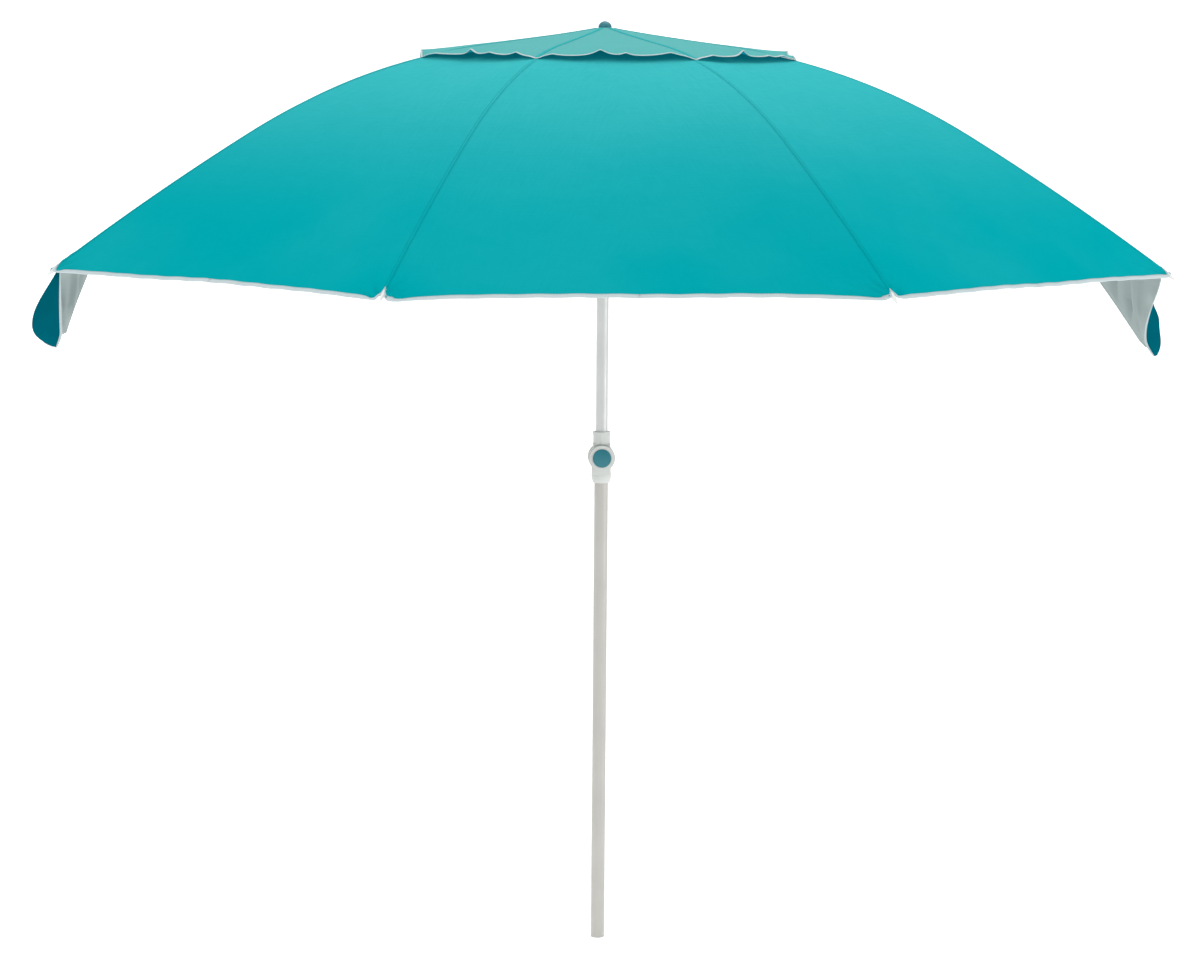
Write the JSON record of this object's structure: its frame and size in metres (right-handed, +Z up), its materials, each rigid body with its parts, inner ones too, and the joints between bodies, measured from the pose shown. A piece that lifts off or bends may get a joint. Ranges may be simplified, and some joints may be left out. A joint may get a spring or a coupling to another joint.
{
  "type": "beach umbrella",
  "caption": "Tilting beach umbrella: two-piece pole with a push-button tilt joint, ribs that fold with a sliding runner, a vented canopy and two hanging side flaps.",
  "frame": {"origin": "centre of the lower pole's foot", "axes": "+Z up along the poles; the tilt button and the middle of the front gore face -Y; the flaps hang at +X and -X"},
  "size_m": [1.9308, 1.9076, 1.6787],
  "materials": {
    "lower_pole": "light grey powder coat, satin",
    "upper_pole": "light silver paint, glossier than the lower pole",
    "joint_plastic": "light grey moulded plastic",
    "button": "teal moulded plastic",
    "steel": "zinc-plated steel",
    "dark_plastic": "black nylon",
    "white_plastic": "off-white moulded plastic",
    "rib_metal": "white-coated steel rod",
    "canopy_cloth": "teal woven polyester outside, silver-grey coating inside",
    "flap_cloth": "teal woven polyester outside, silver-grey coating inside"
  },
  "bodies": {
    "lower_pole": {"lower_pole": "lower_pole", "lower_knuckle": "joint_plastic", "lower_socket_rivet": "steel", "tilt_axle": "steel"},
    "tilt_button": {"tilt_button": "button", "tilt_lock_gear": "dark_plastic"},
    "mast": {"upper_pole": "upper_pole", "upper_knuckle": "joint_plastic", "upper_socket_rivet": "steel", "tilt_spring": "steel", "top_hub": "white_plastic", "hub_ring_wire": "steel", "finial": "button", "vent_canopy": "canopy_cloth"},
    "runner_catch": {"runner_catch": "steel"},
    "runner": {"runner": "white_plastic", "runner_ring_wire": "steel"},
    "rib_1": {"rib_1": "rib_metal", "rib_tip_1": "white_plastic", "rib_joint_1": "white_plastic", "canopy_panel_1": "canopy_cloth"},
    "stretcher_1": {"stretcher_1": "rib_metal"},
    "rib_2": {"rib_2": "rib_metal", "rib_tip_2": "white_plastic", "rib_joint_2": "white_plastic", "canopy_panel_2": "canopy_cloth"},
    "stretcher_2": {"stretcher_2": "rib_metal"},
    "rib_3": {"rib_3": "rib_metal", "rib_tip_3": "white_plastic", "rib_joint_3": "white_plastic", "canopy_panel_3": "canopy_cloth"},
    "stretcher_3": {"stretcher_3": "rib_metal"},
    "rib_4": {"rib_4": "rib_metal", "rib_tip_4": "white_plastic", "rib_joint_4": "white_plastic", "canopy_panel_4": "canopy_cloth"},
    "stretcher_4": {"stretcher_4": "rib_metal"},
    "rib_5": {"rib_5": "rib_metal", "rib_tip_5": "white_plastic", "rib_joint_5": "white_plastic", "canopy_panel_5": "canopy_cloth"},
    "stretcher_5": {"stretcher_5": "rib_metal"},
    "rib_6": {"rib_6": "rib_metal", "rib_tip_6": "white_plastic", "rib_joint_6": "white_plastic", "canopy_panel_6": "canopy_cloth"},
    "stretcher_6": {"stretcher_6": "rib_metal"},
    "rib_7": {"rib_7": "rib_metal", "rib_tip_7": "white_plastic", "rib_joint_7": "white_plastic", "canopy_panel_7": "canopy_cloth"},
    "stretcher_7": {"stretcher_7": "rib_metal"},
    "rib_8": {"rib_8": "rib_metal", "rib_tip_8": "white_plastic", "rib_joint_8": "white_plastic", "canopy_panel_8": "canopy_cloth"},
    "stretcher_8": {"stretcher_8": "rib_metal"},
    "flap_right": {"flap_right": "flap_cloth"},
    "flap_left": {"flap_left": "flap_cloth"}
  },
  "joints": [
    {"name": "tilt", "type": "hinge", "parent": "lower_pole", "child": "mast", "pos_m": [0, 0, 0.893], "axis": [0, 1, 0], "range_deg": [-45, 45]},
    {"name": "tilt_button_press", "type": "slide", "parent": "lower_pole", "child": "tilt_button", "axis": [0, 1, 0], "range_m": [0, 0.0045], "stiffness_N_per_m": 900, "springref_m": -0.003, "deforming": ["tilt_spring"]},
    {"name": "runner_catch_press", "type": "slide", "parent": "mast", "child": "runner_catch", "axis": [0, 1, 0], "range_m": [0, 0.0033], "stiffness_N_per_m": 1200, "springref_m": -0.003},
    {"name": "rib_1_fold", "type": "hinge", "parent": "mast", "child": "rib_1", "pos_m": [0.00765, -0.01848, 1.658], "axis": [0.9239, 0.3827, 0], "range_deg": [0, 60], "deforming": ["canopy_panel_1", "vent_canopy", "runner_catch"]},
    {"name": "stretcher_1_turn", "type": "hinge", "parent": "rib_1", "child": "stretcher_1", "pos_m": [0.1395, -0.33679, 1.59617], "axis": [0.9239, 0.3827, 0], "range_deg": [-120, 0]},
    {"name": "rib_2_fold", "type": "hinge", "parent": "mast", "child": "rib_2", "pos_m": [0.01848, -0.00765, 1.658], "axis": [0.3827, 0.9239, 0], "range_deg": [0, 60], "deforming": ["canopy_panel_2"]},
    {"name": "stretcher_2_turn", "type": "hinge", "parent": "rib_2", "child": "stretcher_2", "pos_m": [0.33679, -0.1395, 1.59617], "axis": [0.3827, 0.9239, 0], "range_deg": [-120, 0]},
    {"name": "rib_3_fold", "type": "hinge", "parent": "mast", "child": "rib_3", "pos_m": [0.01848, 0.00765, 1.658], "axis": [-0.3827, 0.9239, 0], "range_deg": [0, 60], "deforming": ["canopy_panel_3"]},
    {"name": "stretcher_3_turn", "type": "hinge", "parent": "rib_3", "child": "stretcher_3", "pos_m": [0.33679, 0.1395, 1.59617], "axis": [-0.3827, 0.9239, 0], "range_deg": [-120, 0]},
    {"name": "rib_4_fold", "type": "hinge", "parent": "mast", "child": "rib_4", "pos_m": [0.00765, 0.01848, 1.658], "axis": [-0.9239, 0.3827, 0], "range_deg": [0, 60], "deforming": ["canopy_panel_4"]},
    {"name": "stretcher_4_turn", "type": "hinge", "parent": "rib_4", "child": "stretcher_4", "pos_m": [0.1395, 0.33679, 1.59617], "axis": [-0.9239, 0.3827, 0], "range_deg": [-120, 0]},
    {"name": "rib_5_fold", "type": "hinge", "parent": "mast", "child": "rib_5", "pos_m": [-0.00765, 0.01848, 1.658], "axis": [-0.9239, -0.3827, 0], "range_deg": [0, 60], "deforming": ["canopy_panel_5"]},
    {"name": "stretcher_5_turn", "type": "hinge", "parent": "rib_5", "child": "stretcher_5", "pos_m": [-0.1395, 0.33679, 1.59617], "axis": [-0.9239, -0.3827, 0], "range_deg": [-120, 0]},
    {"name": "rib_6_fold", "type": "hinge", "parent": "mast", "child": "rib_6", "pos_m": [-0.01848, 0.00765, 1.658], "axis": [-0.3827, -0.9239, 0], "range_deg": [0, 60], "deforming": ["canopy_panel_6"]},
    {"name": "stretcher_6_turn", "type": "hinge", "parent": "rib_6", "child": "stretcher_6", "pos_m": [-0.33679, 0.1395, 1.59617], "axis": [-0.3827, -0.9239, 0], "range_deg": [-120, 0]},
    {"name": "rib_7_fold", "type": "hinge", "parent": "mast", "child": "rib_7", "pos_m": [-0.01848, -0.00765, 1.658], "axis": [0.3827, -0.9239, 0], "range_deg": [0, 60], "deforming": ["canopy_panel_7"]},
    {"name": "stretcher_7_turn", "type": "hinge", "parent": "rib_7", "child": "stretcher_7", "pos_m": [-0.33679, -0.1395, 1.59617], "axis": [0.3827, -0.9239, 0], "range_deg": [-120, 0]},
    {"name": "rib_8_fold", "type": "hinge", "parent": "mast", "child": "rib_8", "pos_m": [-0.00765, -0.01848, 1.658], "axis": [0.9239, -0.3827, 0], "range_deg": [0, 60], "deforming": ["canopy_panel_8"]},
    {"name": "stretcher_8_turn", "type": "hinge", "parent": "rib_8", "child": "stretcher_8", "pos_m": [-0.1395, -0.33679, 1.59617], "axis": [0.9239, -0.3827, 0], "range_deg": [-120, 0]},
    {"name": "runner_slide_link", "type": "hinge", "parent": "stretcher_1", "child": "runner", "pos_m": [0.00765, -0.01848, 1.53435], "axis": [0.9239, 0.3827, 0], "range_deg": [0, 60]},
    {"name": "flap_right_swing", "type": "hinge", "parent": "rib_2", "child": "flap_right", "pos_m": [0.93493, -0.38726, 1.26354], "axis": [0.3827, 0.9239, 0], "range_deg": [-60, 0], "deforming": ["flap_right"]},
    {"name": "flap_left_swing", "type": "hinge", "parent": "rib_7", "child": "flap_left", "pos_m": [-0.93493, -0.38726, 1.26354], "axis": [0.3827, -0.9239, 0], "range_deg": [-60, 0], "deforming": ["flap_left"]}
  ],
  "couplings": [
    {"joint": "stretcher_1_turn", "follows": "rib_1_fold", "ratio": -2},
    {"joint": "rib_2_fold", "follows": "rib_1_fold", "ratio": 1},
    {"joint": "stretcher_2_turn", "follows": "rib_1_fold", "ratio": -2},
    {"joint": "rib_3_fold", "follows": "rib_1_fold", "ratio": 1},
    {"joint": "stretcher_3_turn", "follows": "rib_1_fold", "ratio": -2},
    {"joint": "rib_4_fold", "follows": "rib_1_fold", "ratio": 1},
    {"joint": "stretcher_4_turn", "follows": "rib_1_fold", "ratio": -2},
    {"joint": "rib_5_fold", "follows": "rib_1_fold", "ratio": 1},
    {"joint": "stretcher_5_turn", "follows": "rib_1_fold", "ratio": -2},
    {"joint": "rib_6_fold", "follows": "rib_1_fold", "ratio": 1},
    {"joint": "stretcher_6_turn", "follows": "rib_1_fold", "ratio": -2},
    {"joint": "rib_7_fold", "follows": "rib_1_fold", "ratio": 1},
    {"joint": "stretcher_7_turn", "follows": "rib_1_fold", "ratio": -2},
    {"joint": "rib_8_fold", "follows": "rib_1_fold", "ratio": 1},
    {"joint": "stretcher_8_turn", "follows": "rib_1_fold", "ratio": -2},
    {"joint": "runner_slide_link", "follows": "rib_1_fold", "ratio": 1},
    {"joint": "flap_right_swing", "follows": "rib_1_fold", "ratio": -1},
    {"joint": "flap_left_swing", "follows": "rib_1_fold", "ratio": -1}
  ]
}
